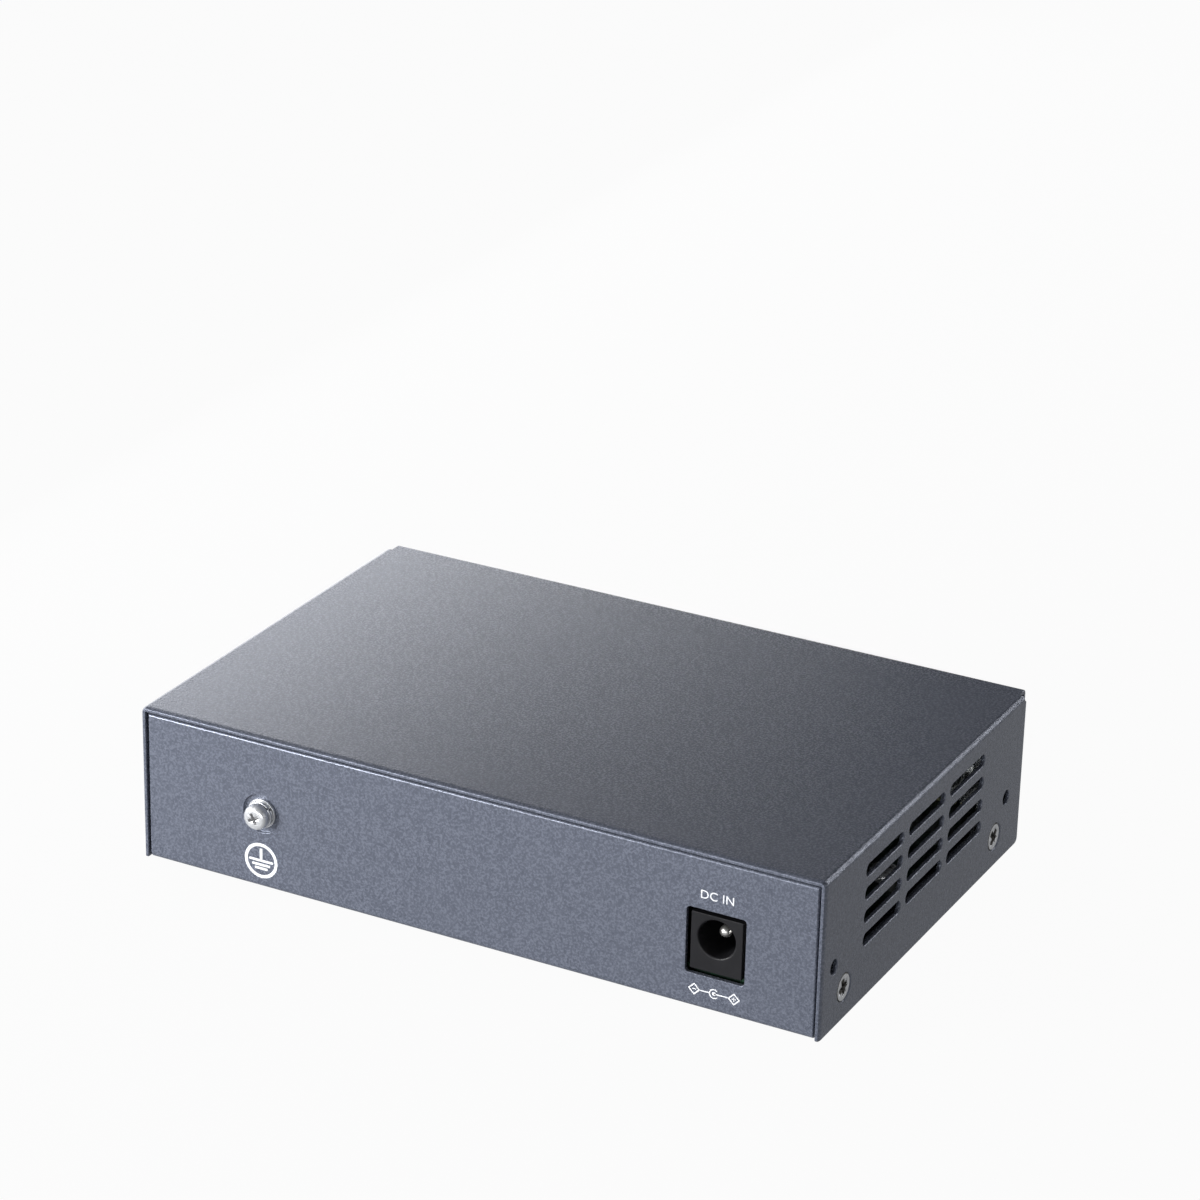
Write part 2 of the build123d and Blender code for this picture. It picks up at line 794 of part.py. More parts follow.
with BuildPart() as dc_jack_body:
    dc_foot_plane = rear_plane(dc_x, dc_face_y, board_top_z)
    with BuildSketch(dc_foot_plane):
        with Locations((0, dc_face_height / 2)):
            Rectangle(dc_face_width, dc_face_height)
    extrude(amount=-dc_face_thickness)
    dc_shoulder = dc_bore_height + dc_shoulder_rise
    with BuildSketch(dc_foot_plane):
        with Locations((0, dc_shoulder / 2)):
            Rectangle(dc_face_width, dc_shoulder)
        with Locations((0, dc_bore_height)):
            Circle(dc_bore_radius + dc_barrel_wall)
    extrude(amount=-dc_length)
    with BuildSketch(dc_foot_plane):
        with Locations((0, dc_bore_height)):
            Circle(dc_bore_radius)
    extrude(amount=-dc_bore_depth, mode=Mode.SUBTRACT)
    bore_mouth = dc_jack_body.edges().filter_by(GeomType.CIRCLE).sort_by(Axis.Y)[-1]
    chamfer(bore_mouth, length=dc_bore_chamfer)
    dc_groove_length = dc_bore_depth - dc_groove_setback
    with BuildSketch(dc_foot_plane.offset(-dc_groove_setback)):
        with Locations((dc_bore_radius, dc_bore_height)):
            Rectangle(2 * dc_groove_depth, dc_spring_width + 2 * dc_groove_play)
    extrude(amount=-dc_groove_length, mode=Mode.SUBTRACT)

with BuildPart() as dc_jack_pin:
    pin_root_y = dc_face_y - dc_bore_depth
    with BuildSketch(rear_plane(dc_x, pin_root_y, dc_bore_z)):
        Circle(dc_pin_radius)
    extrude(amount=dc_bore_depth - dc_pin_sink)
    chamfer(dc_jack_pin.edges().sort_by(Axis.Y)[-1], length=dc_pin_tip_cut)

with BuildPart() as dc_jack_spring:
    groove_x = dc_x - dc_bore_radius - dc_groove_depth
    spring_y = pin_root_y + dc_groove_play
    with BuildSketch(Plane.XY.offset(dc_bore_z - dc_spring_width / 2)):
        with BuildLine():
            Polyline(
                (groove_x, spring_y),
                (groove_x, spring_y + dc_spring_root),
                (groove_x + dc_groove_depth + dc_spring_rise, spring_y + dc_spring_length - dc_spring_tip),
                (groove_x + dc_groove_depth, spring_y + dc_spring_length),
            )
            offset(amount=dc_spring_thickness, side=Side.RIGHT, kind=Kind.INTERSECTION)
        make_face()
    extrude(amount=dc_spring_width)

with BuildPart() as dc_jack_tabs:
    with BuildSketch(Plane.XY.offset(board_top_z)):
        with Locations(*dc_tab_places):
            Rectangle(dc_tab_width, dc_tab_thickness)
    extrude(amount=-dc_tab_length)


# Transformers, one behind each port, with their gull-wing leads

transformer_places = [x for jack_x, _, ports in jack_groups for x in port_places(jack_x, ports)]

with BuildPart() as port_transformers:
    with BuildSketch(Plane.XY.offset(board_top_z + transformer_lift)):
        with Locations(*[(x, transformer_y) for x in transformer_places]):
            Rectangle(transformer_width, transformer_depth)
    extrude(amount=transformer_height)
    chamfer(port_transformers.edges().group_by(Axis.Z)[-1], length=transformer_round)

with BuildPart() as transformer_leads:
    lead_row = [lead_pitch * (lead - (lead_count - 1) / 2) for lead in range(lead_count)]
    lead_places = [x + lead_x - lead_width / 2 for x in transformer_places for lead_x in lead_row]
    for side, lead_side in ((1, Side.LEFT), (-1, Side.RIGHT)):
        root_y = transformer_y + side * transformer_depth / 2
        knee_y = root_y + side * lead_reach
        with BuildSketch(*[Plane.YZ.offset(x) for x in lead_places]):
            with BuildLine():
                Polyline(
                    (root_y, board_top_z + lead_root_height),
                    (knee_y, board_top_z),
                    (knee_y + side * lead_foot, board_top_z),
                )
                offset(amount=lead_thickness, side=lead_side, kind=Kind.INTERSECTION)
            make_face()
        extrude(amount=lead_width)


# Chips, sealed packages that stand on the board


def chip_body(board_plane, places, length, width, height):
    """Moulded packages of one size, with a chamfered top."""
    with BuildPart() as chips:
        with BuildSketch(board_plane):
            with Locations(*places):
                Rectangle(length, width)
        extrude(amount=height)
        chamfer(chips.edges().group_by(Axis.Z)[-1], length=chip_edge)
    return chips


switch_chip = chip_body(chip_board, [(0, 0)], chip_size, chip_size, chip_height)
power_controller = chip_body(
    chip_board, [controller_place], controller_size, controller_size, controller_height
)
memory_chip = chip_body(chip_board, [memory_place], memory_length, memory_width, memory_height)
voltage_regulators = chip_body(
    power_board, regulator_places, regulator_length, regulator_width, regulator_height
)
input_diode = chip_body(power_board, [diode_place], diode_length, diode_width, diode_height)
input_fuse = chip_body(power_board, [fuse_place], fuse_length, fuse_width, fuse_height)

with BuildPart() as thermal_pad:
    with BuildSketch(chip_board.offset(chip_height)):
        Rectangle(chip_size - 2 * chip_edge, chip_size - 2 * chip_edge)
    extrude(amount=pad_thickness)

with BuildPart() as heat_sink:
    with BuildSketch(chip_board.offset(chip_height + pad_thickness)):
        Rectangle(sink_size, sink_size)
    extrude(amount=sink_base)
    with BuildSketch(chip_board.offset(chip_height + pad_thickness + sink_base)):
        fin_pitch = (sink_size - sink_fin_thickness) / (sink_fins - 1)
        with GridLocations(fin_pitch, 0, sink_fins, 1):
            Rectangle(sink_fin_thickness, sink_size)
    extrude(amount=sink_height - sink_base)


# Power parts and small parts on the board

with BuildPart() as power_inductors:
    with BuildSketch(power_board) as inductor_outline:
        with Locations(*inductor_places):
            Rectangle(inductor_size, inductor_size)
        chamfer(inductor_outline.vertices(), length=inductor_corner_cut)
    extrude(amount=inductor_height)
    chamfer(power_inductors.edges().group_by(Axis.Z)[-1], length=chip_edge)

with BuildPart() as electrolytic_capacitors:
    with BuildSketch(power_board):
        with Locations(*can_places):
            Circle(can_radius)
    extrude(amount=can_height)

with BuildPart() as crystal:
    with BuildSketch(chip_board):
        with Locations(crystal_place):
            SlotOverall(crystal_length, crystal_width)
    extrude(amount=crystal_height)
    chamfer(crystal.edges().group_by(Axis.Z)[-1], length=crystal_edge)

with BuildPart() as chip_capacitors:
    with BuildSketch(chip_board):
        with Locations(chip_cap_place):
            with GridLocations(chip_cap_pitch_x, chip_cap_pitch_y, chip_cap_columns, chip_cap_rows):
                Rectangle(chip_cap_length, chip_cap_width)
    extrude(amount=chip_cap_height)

with BuildPart() as chip_resistors:
    with BuildSketch(chip_board):
        with Locations(chip_resistor_place):
            with GridLocations(
                chip_resistor_pitch_x, chip_resistor_pitch_y, chip_resistor_columns, chip_resistor_rows
            ):
                Rectangle(chip_resistor_length, chip_resistor_width)
    extrude(amount=chip_resistor_height)


# One file for each piece

pieces = {
    "cover": cover,
    "base_tray": base_tray,
    "cover_screws": cover_screws,
    "rubber_feet": rubber_feet,
    "ground_screw": ground_screw,
    "ground_spring_washer": ground_spring_washer,
    "ground_flat_washer": ground_flat_washer,
    "board_standoffs": board_standoffs,
    "board_screws": board_screws,
    "circuit_board": circuit_board,
    "rj45_quad_housing": rj45_quad_housing,
    "rj45_quad_shield": rj45_quad_shield,
    "rj45_quad_contacts": rj45_quad_contacts,
    "rj45_pair_housing": rj45_pair_housing,
    "rj45_pair_shield": rj45_pair_shield,
    "rj45_pair_contacts": rj45_pair_contacts,
    "indicator_lamps": indicator_lamps,
    "light_guide": light_guide,
    "dc_jack_body": dc_jack_body,
    "dc_jack_pin": dc_jack_pin,
    "dc_jack_spring": dc_jack_spring,
    "dc_jack_tabs": dc_jack_tabs,
    "port_transformers": port_transformers,
    "transformer_leads": transformer_leads,
    "switch_chip": switch_chip,
    "thermal_pad": thermal_pad,
    "heat_sink": heat_sink,
    "power_controller": power_controller,
    "voltage_regulators": voltage_regulators,
    "memory_chip": memory_chip,
    "input_diode": input_diode,
    "input_fuse": input_fuse,
    "power_inductors": power_inductors,
    "electrolytic_capacitors": electrolytic_capacitors,
    "crystal": crystal,
    "chip_capacitors": chip_capacitors,
    "chip_resistors": chip_resistors,
}

os.makedirs("parts", exist_ok=True)
for name, piece in pieces.items():
    piece.part.label = name
    export_step(piece.part, f"parts/{name}.step")
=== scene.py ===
"""Desktop ethernet switch in a folded steel case, seen from behind and from its left rear corner."""

import math

import bmesh
import bpy
from mathutils import Matrix, Quaternion, Vector


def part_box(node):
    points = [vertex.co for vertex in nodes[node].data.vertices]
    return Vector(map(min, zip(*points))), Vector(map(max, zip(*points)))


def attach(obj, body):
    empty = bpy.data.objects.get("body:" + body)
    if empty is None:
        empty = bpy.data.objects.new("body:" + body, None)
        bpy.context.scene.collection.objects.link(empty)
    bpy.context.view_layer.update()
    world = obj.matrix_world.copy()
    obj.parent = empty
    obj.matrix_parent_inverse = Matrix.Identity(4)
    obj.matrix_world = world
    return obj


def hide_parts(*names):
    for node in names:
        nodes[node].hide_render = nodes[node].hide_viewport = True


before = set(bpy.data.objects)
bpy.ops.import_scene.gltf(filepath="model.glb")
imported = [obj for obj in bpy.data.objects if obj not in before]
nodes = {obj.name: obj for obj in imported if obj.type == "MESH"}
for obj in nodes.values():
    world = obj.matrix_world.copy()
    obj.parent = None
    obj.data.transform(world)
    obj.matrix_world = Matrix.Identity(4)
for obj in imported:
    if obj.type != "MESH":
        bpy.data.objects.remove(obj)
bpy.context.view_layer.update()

# Camera
# It stands behind the switch and looks down at the rear panel, with a long lens that keeps the
# edges of the case nearly parallel. It is held a little off level, as for the photograph.
camera_place = Vector((-0.2732, 0.5216, 0.3014))
camera_aim = Vector((0.0038, -0.0110, 0.0412))
camera_roll = math.radians(1.36)
camera = bpy.data.objects.new("camera", bpy.data.cameras.new("camera"))
camera.data.sensor_width = 36.0
camera.data.lens = 119.66
camera.data.clip_start = 0.05
camera.location = camera_place
camera.rotation_mode = "QUATERNION"
level_view = (camera_aim - camera_place).to_track_quat("-Z", "Y")
camera.rotation_quaternion = level_view @ Quaternion((0, 0, 1), camera_roll)
bpy.context.scene.collection.objects.link(camera)
bpy.context.scene.camera = camera
bpy.context.scene.view_settings.view_transform = "Standard"


# Lamps
# A long low screen stands beside the left of the case and shades off over its top. Two soft boxes,
# beside and behind the camera, light the rear panel and a weak one lifts the side. Two long strips
# lean over the case, so that its rounded edges catch a line of light.


def soft_box(name, place, aim, width, height, power, roll=0.0):
    """A rectangular lamp that faces a point and stays out of the picture."""
    lamp = bpy.data.lights.new(name, "AREA")
    lamp.shape = "RECTANGLE"
    lamp.size = width
    lamp.size_y = height
    lamp.energy = power
    lamp_object = bpy.data.objects.new(name, lamp)
    lamp_object.location = place
    lamp_object.rotation_mode = "QUATERNION"
    facing = (Vector(aim) - Vector(place)).to_track_quat("-Z", "Y")
    lamp_object.rotation_quaternion = facing @ Quaternion((0, 0, 1), math.radians(roll))
    lamp_object.visible_camera = False
    bpy.context.scene.collection.objects.link(lamp_object)


soft_box("left_screen", (0.17, -0.22, 0.075), (-1.0, -0.22, 0.075), width=0.60, height=0.13, power=0.7)
soft_box("near_box", (0.44, 0.53, 0.13), (0.0, 0.04, 0.015), width=0.30, height=0.22, power=6.3)
soft_box("low_box", (0.0, 1.10, 0.10), (0.0, 0.04, 0.01), width=1.2, height=0.2, power=6.0)
soft_box("right_box", (-1.1, 0.0, 0.35), (0.0, 0.0, 0.01), width=0.5, height=0.4, power=1.1)
soft_box(
    "bend_strip", (-0.64, -1.05, 0.53), (-0.05, 0.0, 0.02), width=0.14, height=1.2, power=4.6, roll=-36.0
)
soft_box(
    "edge_strip", (0.50, 0.76, 0.84), (0.03, 0.04, 0.027), width=0.07, height=1.2, power=1.5, roll=26.0
)


# Surround
# A dim glow comes from all sides, as from the walls of a studio. The camera sees plain white there,
# and gloss sees only a little of that white, because the photographed coat mirrors a dark room.


class Value:
    """One output of a node. Arithmetic on it adds Math nodes to the same tree."""

    def __init__(self, wiring, socket):
        self.wiring = wiring
        self.socket = socket

    def math(self, operation, *numbers):
        """The result of a Math node on some values or numbers."""
        return self.wiring.node("ShaderNodeMath", {"operation": operation}, dict(enumerate(numbers)))

    def __add__(self, other):
        return self.math("ADD", self, other)

    def __radd__(self, other):
        return self.math("ADD", other, self)

    def __mul__(self, other):
        return self.math("MULTIPLY", self, other)

    def __rmul__(self, other):
        return self.math("MULTIPLY", other, self)


class Wiring:
    """The nodes of a material or of the surround, and the links between them."""

    def __init__(self, tree):
        self.tree = tree

    def node(self, kind, settings=None, inputs=None, output=0):
        """Adds a node, sets it up, feeds its sockets and returns one of its outputs."""
        node = self.tree.nodes.new(kind)
        for name, setting in (settings or {}).items():
            if name == "stops":
                for element, (place, level) in zip(node.color_ramp.elements, setting):
                    element.position = place
                    element.color = (level, level, level, 1.0)
            else:
                setattr(node, name, setting)
        for socket, value in (inputs or {}).items():
            self.feed(node.inputs[socket], value)
        return Value(self, node.outputs[output])

    def feed(self, socket, value):
        """Links a value to a socket, or sets the socket to a constant."""
        if isinstance(value, Value):
            self.tree.links.new(value.socket, socket)
        else:
            socket.default_value = value


def white_share(wiring, camera_share, gloss_share):
    """How white a backdrop is to the camera and through glass, and how white it is in gloss."""
    camera_ray = wiring.node("ShaderNodeLightPath", output="Is Camera Ray")
    glass_ray = wiring.node("ShaderNodeLightPath", output="Is Transmission Ray")
    gloss_ray = wiring.node("ShaderNodeLightPath", output="Is Glossy Ray")
    return camera_share * camera_ray.math("MAXIMUM", camera_ray, glass_ray) + gloss_share * gloss_ray


surround_level = 0.08
surround_gloss_share = 0.06
surround = bpy.data.worlds.new("surround")
bpy.context.scene.world = surround
surround.use_nodes = True
surround_wiring = Wiring(surround.node_tree)
dim_walls = surround.node_tree.nodes["Background"]
dim_walls.inputs["Color"].default_value = (0.93, 0.95, 1.0, 1.0)
dim_walls.inputs["Strength"].default_value = surround_level
white_walls = surround_wiring.node(
    "ShaderNodeBackground", None, {"Color": (1.0, 1.0, 1.0, 1.0), "Strength": 1.0}
)
surround_seen = surround_wiring.node("ShaderNodeMixShader", None, {
    0: white_share(surround_wiring, 1.0, surround_gloss_share),
    1: Value(surround_wiring, dim_walls.outputs[0]),
    2: white_walls,
})
surround_wiring.feed(surround.node_tree.nodes["World Output"].inputs["Surface"], surround_seen)


# Floor
# A wide white sweep a hair under the feet. To the camera it is nearly white and still takes the
# shadow of the switch.


class Finish(Wiring):
    """A material being put together: its nodes, its main shader and the place on the object."""

    def __init__(self, name, **constants):
        self.material = bpy.data.materials.new(name)
        self.material.use_nodes = True
        super().__init__(self.material.node_tree)
        self.shader = self.tree.nodes["Principled BSDF"]
        for socket, constant in constants.items():
            self.shader.inputs[socket.replace("_", " ")].default_value = constant
        self.place = self.node("ShaderNodeTexCoord", output="Object")

    def noise(self, scale, detail, roughness, stretch=None):
        """Soft noise, with so many lumps to the metre, drawn out where it has a stretch."""
        place = self.place
        if stretch is not None:
            place = self.node("ShaderNodeMapping", None, {"Vector": self.place, "Scale": stretch})
        inputs = {"Vector": place, "Scale": scale, "Detail": detail, "Roughness": roughness}
        return self.node("ShaderNodeTexNoise", None, inputs)

    def ramp(self, value, stops):
        """A value passed between two grey stops, each a place and a level."""
        return self.node("ShaderNodeValToRGB", {"stops": stops}, {"Fac": value})

    def mix(self, factor, first, second):
        """A blend of two colours."""
        inputs = {0: factor, 6: first, 7: second}
        return self.node("ShaderNodeMix", {"data_type": "RGBA"}, inputs, output=2)

    def bump(self, height, distance, strength):
        """A normal raised by a height, at a real distance."""
        inputs = {"Height": height, "Distance": distance, "Strength": strength}
        return self.node("ShaderNodeBump", None, inputs)

    def surface(self, **sockets):
        """Feeds the main shader and returns the finished material."""
        for socket, value in sockets.items():
            self.feed(self.shader.inputs[socket.replace("_", " ")], value)
        return self.material


def into_scene(name, shape):
    """An object at the origin from a bmesh."""
    mesh = bpy.data.meshes.new(name)
    shape.to_mesh(mesh)
    shape.free()
    piece = bpy.data.objects.new(name, mesh)
    bpy.context.scene.collection.objects.link(piece)
    return piece


floor_size = 6.0
floor_drop = 0.00005
floor_white_share = 0.96
floor_gloss_share = 0.34
floor_shape = bmesh.new()
floor_place = Matrix.Translation((0, 0, -floor_drop))
bmesh.ops.create_grid(floor_shape, x_segments=1, y_segments=1, size=floor_size / 2, matrix=floor_place)
floor = into_scene("floor", floor_shape)
floor_finish = Finish("floor_sweep", Base_Color=(0.25, 0.26, 0.27, 1.0), Roughness=0.9)
floor_seen = floor_finish.node("ShaderNodeMixShader", None, {
    0: white_share(floor_finish, floor_white_share, floor_gloss_share),
    1: Value(floor_finish, floor_finish.shader.outputs[0]),
    2: floor_finish.node("ShaderNodeEmission"),
})
floor_finish.feed(floor_finish.tree.nodes["Material Output"].inputs["Surface"], floor_seen)
floor.data.materials.append(floor_finish.material)


# Base tray
# One folded sheet of 0.8 mm steel: the bottom, both panels and two side flanges. Its slate grey
# powder coat has a fine leathery grain and rounds every cut edge, most of all the rear panel's rim.

mm = 0.001
tolerance = 0.001 * mm
coat_rounding = 0.1 * mm


def colour(red, green, blue):
    """A screen colour, from 0 to 255, as a shader colour."""
    levels = [channel / 255 for channel in (red, green, blue)]
    linear = [level / 12.92 if level <= 0.04045 else ((level + 0.055) / 1.055) ** 2.4 for level in levels]
    return (*linear, 1.0)


def merged_copy(node):
    """A bmesh of a CAD node with its loose triangles joined into whole faces."""
    shape = bmesh.new()
    shape.from_mesh(nodes[node].data)
    bmesh.ops.remove_doubles(shape, verts=shape.verts, dist=tolerance)
    bmesh.ops.dissolve_limit(
        shape, angle_limit=math.radians(1), verts=shape.verts, edges=shape.edges, delimit=set()
    )
    return shape


def soften(shape, rounding):
    """Rounds the sharp edges of a bmesh and keeps every vertex inside the box that it had."""
    sharp = math.radians(40)
    rims = [edge for edge in shape.edges if edge.is_manifold and edge.calc_face_angle() > sharp]
    low = [min(vert.co[axis] for vert in shape.verts) for axis in range(3)]
    high = [max(vert.co[axis] for vert in shape.verts) for axis in range(3)]
    bmesh.ops.bevel(
        shape,
        geom=rims,
        offset=rounding,
        offset_type="OFFSET",
        segments=2,
        profile=0.5,
        affect="EDGES",
        clamp_overlap=False,
        loop_slide=False,
        material=-1,
    )
    for vert in shape.verts:
        vert.co = [min(max(vert.co[axis], low[axis]), high[axis]) for axis in range(3)]
    bmesh.ops.dissolve_degenerate(shape, dist=0.1 * tolerance, edges=shape.edges)


def shade_smooth(shape, crease=math.radians(50)):
    """Shades a bmesh smooth, apart from the edges that fold by more than the crease."""
    for face in shape.faces:
        face.smooth = True
    for edge in shape.edges:
        edge.smooth = edge.is_manifold and edge.calc_face_angle() < crease


def fitted(name, shape, slot, *materials, stands_for=()):
    """Finishes a piece of the switch: its object, materials and the CAD nodes it stands for. The slot is not
    used.
    """
    piece = into_scene(name, shape)
    for material in materials:
        piece.data.materials.append(material)
    even = piece.modifiers.new("even_normals", "WEIGHTED_NORMAL")
    even.keep_sharp = True
    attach(piece, "root")
    if stands_for:
        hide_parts(*stands_for)


coat = Finish("slate_powder_coat", Specular_IOR_Level=0.5)
coat_grain = coat.noise(2700.0, 2.0, 0.6)
coat_ripple = coat.noise(700.0, 2.0, 0.5)
coat_mottle = coat.noise(160.0, 3.0, 0.6)
coat_mask = 0.85 * coat_grain + 0.1 * coat_ripple + 0.05 * coat_mottle
coat_shade = coat.ramp(coat_mask, [(0.36, 0.0), (0.64, 1.0)])
slate_coat = coat.surface(
    Base_Color=coat.mix(coat_shade, colour(84, 89, 102), colour(112, 117, 131)),
    Metallic=0.35,
    Roughness=0.22 + 0.1 * coat_grain,
    Normal=coat.bump(0.8 * coat_grain + 0.2 * coat_ripple, 0.075 * mm, 0.8),
)

panel_rim = 0.25 * mm
rim_share = 1.7
rim_start_z = 4.0 * mm
tray_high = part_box("base_tray")[1]
tray_shape = merged_copy("base_tray")
panel_face_x = [vert.co.x for vert in tray_shape.verts if vert.co.y > tray_high.y - 0.01 * mm]
panel_side = max(panel_face_x) + panel_rim
# The round on the rear panel's rim grows towards its middle and catches the light under the cover.
for vert in tray_shape.verts:
    back = tray_high.y - vert.co.y
    sunk_top = tray_high.z - vert.co.z
    sunk_side = panel_side - abs(vert.co.x)
    on_rim = min(sunk_top, sunk_side) < panel_rim + tolerance and vert.co.z > rim_start_z
    if back < panel_rim + tolerance and on_rim:
        vert.co.y = tray_high.y - rim_share * back
        if sunk_top < panel_rim + tolerance:
            vert.co.z = tray_high.z - rim_share * sunk_top
        if sunk_side < panel_rim + tolerance:
            vert.co.x = math.copysign(panel_side - rim_share * sunk_side, vert.co.x)
soften(tray_shape, coat_rounding)
shade_smooth(tray_shape)
fitted("folded_tray", tray_shape, "case_paint", slate_coat, stands_for=("base_tray",))


# Board standoffs
# Four hexagonal steel posts, zinc plated and pressed into the bottom of the tray.


def plated(name, dark, light, roughness, stretch=(1.0, 1.0, 1.0), bare=1.0):
    """A plated or bare metal: faint streaks, uneven gloss and fine scratches."""
    metal = Finish(name, Metallic=bare)
    streaks = metal.noise(3000.0, 3.0, 0.6, stretch)
    clouds = metal.noise(450.0, 2.0, 0.5)
    return metal.surface(
        Base_Color=metal.mix(0.5 * streaks + 0.5 * clouds, dark, light),
        Roughness=roughness - 0.08 + 0.16 * clouds,
        Normal=metal.bump(streaks, 0.004 * mm, 0.6),
    )


def wear(node, material):
    """Gives a CAD node its material."""
    nodes[node].data.materials.clear()
    nodes[node].data.materials.append(material)


bright_zinc = plated("bright_zinc", colour(190, 192, 196), colour(236, 237, 239), 0.26, bare=0.6)
wear("board_standoffs", bright_zinc)


# Circuit board
# Glass laminate 1.6 mm thick under dark green solder mask, with copper tracks that show through it.

board_finish = Finish("green_solder_mask", Specular_IOR_Level=0.5)
track_cells = board_finish.node(
    "ShaderNodeTexVoronoi", {"feature": "DISTANCE_TO_EDGE"}, {"Vector": board_finish.place, "Scale": 260.0}
)
tracks = board_finish.ramp(track_cells, [(0.05, 1.0), (0.09, 0.0)])
mask_cloud = board_finish.noise(900.0, 3.0, 0.6)
board_green = board_finish.mix(mask_cloud, colour(7, 24, 16), colour(11, 31, 21))
wear("circuit_board", board_finish.surface(
    Base_Color=board_finish.mix(0.7 * tracks, board_green, colour(20, 52, 34)),
    Roughness=0.3 + 0.12 * mask_cloud,
    Normal=board_finish.bump(tracks + 0.2 * mask_cloud, 0.03 * mm, 0.6),
))


# Ganged network jacks
# Two black moulded housings, of four and two ports, each in a folded shield of tinned steel with a
# spring finger over every port. Eight gold plated wires hang from the roof of each port.


def moulded(name, dark, light, roughness, grain=2600.0, relief=0.012, gloss=0.5):
    """A moulded or cast matt surface: fine grain, faint clouds and uneven gloss."""
    skin = Finish(name, Specular_IOR_Level=gloss)
    fine = skin.noise(grain, 3.0, 0.6)
    clouds = skin.noise(grain / 12, 2.0, 0.5)
    return skin.surface(
        Base_Color=skin.mix(0.5 * fine + 0.5 * clouds, dark, light),
        Roughness=roughness - 0.06 + 0.12 * clouds,
        Normal=skin.bump(fine, relief * mm, 0.8),
    )


jack_plastic = moulded("jack_plastic", colour(24, 24, 26), colour(36, 36, 38), 0.5)
shield_tin = plated("shield_tin", colour(118, 117, 115), colour(152, 151, 148), 0.42, (0.12, 1.0, 1.0))
contact_gold = plated("contact_gold", colour(214, 166, 78), colour(238, 196, 108), 0.24)
for jack in ("rj45_quad", "rj45_pair"):
    wear(jack + "_housing", jack_plastic)
    wear(jack + "_shield", shield_tin)
    wear(jack + "_contacts", contact_gold)


# Indicator lamps and light guide
# Seven chip lamps stand on the board. One clear moulded piece carries their light to the front.

wear("indicator_lamps", moulded("lamp_resin", colour(214, 206, 160), colour(232, 226, 190), 0.35))
guide_resin = Finish("guide_resin", Transmission_Weight=0.75, IOR=1.49)
guide_haze = guide_resin.noise(500.0, 2.0, 0.5)
wear("light_guide", guide_resin.surface(
    Base_Color=guide_resin.mix(guide_haze, colour(222, 226, 228), colour(240, 243, 244)),
    Roughness=0.12 + 0.12 * guide_haze,
    Normal=guide_resin.bump(guide_haze, 0.02 * mm, 0.3),
))


# Power inlet
# A barrel jack in black moulded plastic, soldered to the board behind the window of the rear panel.
# Its nickel plated pin ends in a ball, and a sheet spring presses on the plug from the side.


def softened_copy(name, node, slot, material, rounding):
    """Puts a copy with rounded edges in the place of a CAD node."""
    shape = merged_copy(node)
    soften(shape, rounding)
    shade_smooth(shape)
    fitted(name, shape, slot, material, stands_for=(node,))


inlet_plastic = moulded(
    "inlet_plastic", colour(22, 22, 24), colour(32, 32, 35), 0.4, grain=3200.0, relief=0.01, gloss=0.2
)
softened_copy("inlet_body", "dc_jack_body", "jack_moulding", inlet_plastic, 0.12 * mm)


def stacked_rings(sides, rings):
    """A closed turned shape along +Z, from rings that each have a height and a radius or its rule."""
    shape = bmesh.new()
    bmesh.ops.create_circle(shape, cap_ends=True, segments=sides, radius=1.0)
    loop = list(shape.edges)
    ring_verts = list(shape.verts)
    for number, (height, radius) in enumerate(rings):
        if number:
            grown = bmesh.ops.extrude_edge_only(shape, edges=loop)["geom"]
            ring_verts = [part for part in grown if isinstance(part, bmesh.types.BMVert)]
            loop = [
                part for part in grown
                if isinstance(part, bmesh.types.BMEdge) and all(vert in ring_verts for vert in part.verts)
            ]
        for vert in ring_verts:
            angle = math.atan2(vert.co.y, vert.co.x)
            reach = radius(angle) if callable(radius) else radius
            vert.co = Vector((reach * math.cos(angle), reach * math.sin(angle), height))
    bmesh.ops.contextual_create(shape, geom=loop)
    bmesh.ops.recalc_face_normals(shape, faces=shape.faces)
    return shape


def stand(shape, place, facing, turn=0.0):
    """Turns a shape's +Z to a direction and moves its origin to a place."""
    upright = Vector(facing).to_track_quat("Z", "Y").to_matrix().to_4x4()
    matrix = Matrix.Translation(Vector(place)) @ upright @ Matrix.Rotation(turn, 4, "Z")
    bmesh.ops.transform(shape, matrix=matrix, verts=shape.verts)
    return shape


pin_low, pin_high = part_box("dc_jack_pin")
pin_radius = (pin_high.x - pin_low.x) / 2
pin_middle = (pin_low + pin_high) / 2
pin_root = Vector((pin_middle.x, pin_low.y, pin_middle.z))
pin_length = pin_high.y - pin_low.y
neck_radius = 0.82 * pin_radius
neck_taper = 0.5 * mm
ball_start = pin_length - 1.6 * pin_radius
ball_steps = 9
ball_first_angle = -35.0
ball_swing = 122.0
pin_rings = [(0.0, pin_radius), (ball_start - neck_taper, pin_radius), (ball_start, neck_radius)]
for step in range(1, ball_steps + 1):
    swing = math.radians(ball_first_angle + ball_swing * step / ball_steps)
    pin_rings.append((pin_length - pin_radius + pin_radius * math.sin(swing), pin_radius * math.cos(swing)))
pin_shape = stand(stacked_rings(40, pin_rings), pin_root, (0, 1, 0))
shade_smooth(pin_shape)
nickel = plated("nickel_plate", colour(178, 177, 175), colour(226, 225, 223), 0.3, bare=0.85)
fitted("inlet_pin", pin_shape, "nickel_plate", nickel, stands_for=("dc_jack_pin",))
wear("dc_jack_spring", nickel)
wear("dc_jack_tabs", shield_tin)


# Transformers
# Six black moulded packages, one behind each port, on gull wing leads of tinned copper.

package_resin = moulded("package_resin", colour(26, 26, 28), colour(38, 38, 40), 0.55, 3600.0, 0.02)
wear("port_transformers", package_resin)
wear("transformer_leads", shield_tin)


